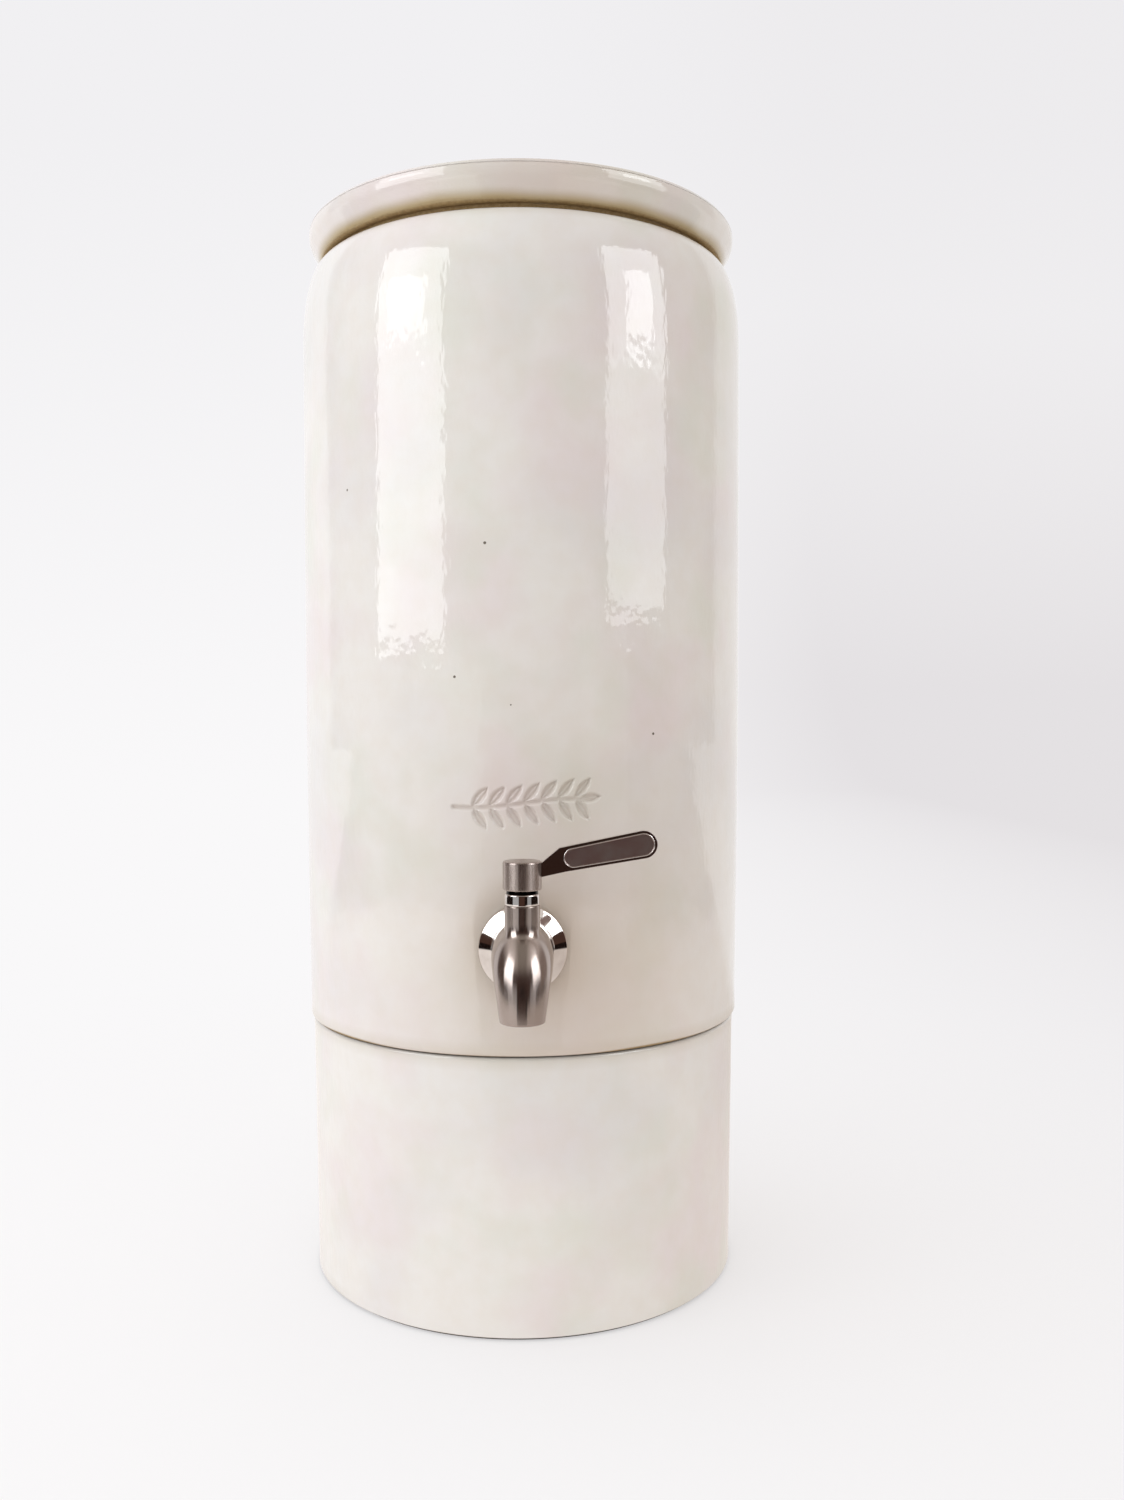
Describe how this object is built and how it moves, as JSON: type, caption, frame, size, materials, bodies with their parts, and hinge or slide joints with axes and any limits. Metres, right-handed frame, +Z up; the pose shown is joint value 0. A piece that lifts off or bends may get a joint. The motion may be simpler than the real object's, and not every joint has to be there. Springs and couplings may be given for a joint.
{
  "type": "gravity water filter",
  "caption": "Tall glazed stoneware water filter on a ring stand, with a lift-off lid, a hanging insert with a ceramic filter candle, and a steel side-lever tap.",
  "frame": {"origin": "on the vessel's axis, at the level of the stand's foot", "axes": "+Z up along the vessel's axis, the tap on the -Y side, the shut lever pointing to +X"},
  "size_m": [0.18, 0.225, 0.4265],
  "materials": {
    "glazed_stoneware": "glossy off-white glaze",
    "satin_steel": "satin",
    "polished_steel": "polished",
    "plain_steel": "plain",
    "clear_silicone": "matte translucent",
    "black_rubber": "matte",
    "white_plastic": "moulded",
    "porous_ceramic": "unglazed",
    "carbon": "pressed granules"
  },
  "bodies": {
    "stand": {"stand": "glazed_stoneware"},
    "crock": {"crock": "glazed_stoneware", "tap_flange": "polished_steel", "flange_washer": "clear_silicone", "inner_washer": "clear_silicone", "backing_washer": "plain_steel", "lock_nut": "plain_steel", "tap_body": "satin_steel", "inlet_seat": "clear_silicone", "slip_washer": "white_plastic", "bonnet_ring": "polished_steel", "seat_ring": "clear_silicone"},
    "handle": {"valve_plug": "plain_steel", "plug_o_rings": "black_rubber", "handle_cap": "satin_steel", "lever": "satin_steel"},
    "insert": {"upper_reservoir": "glazed_stoneware", "candle_base": "white_plastic", "candle_shell": "porous_ceramic", "carbon_core": "carbon", "core_screen": "white_plastic", "candle_gasket": "clear_silicone", "under_washer": "clear_silicone", "wing_nut": "white_plastic"},
    "lid": {"lid": "glazed_stoneware"}
  },
  "joints": [
    {"name": "crock_lift", "type": "slide", "parent": "stand", "child": "crock", "axis": [0, 0, 1], "range_m": [0, 0.06]},
    {"name": "lever_turn", "type": "hinge", "parent": "crock", "child": "handle", "pos_m": [0, -0.11715, 0.17], "axis": [0, 0, 1], "range_deg": [-90, 0]},
    {"name": "insert_lift", "type": "slide", "parent": "crock", "child": "insert", "axis": [0, 0, 1], "range_m": [0, 0.2]},
    {"name": "lid_lift", "type": "slide", "parent": "insert", "child": "lid", "axis": [0, 0, 1], "range_m": [0, 0.08]}
  ]
}
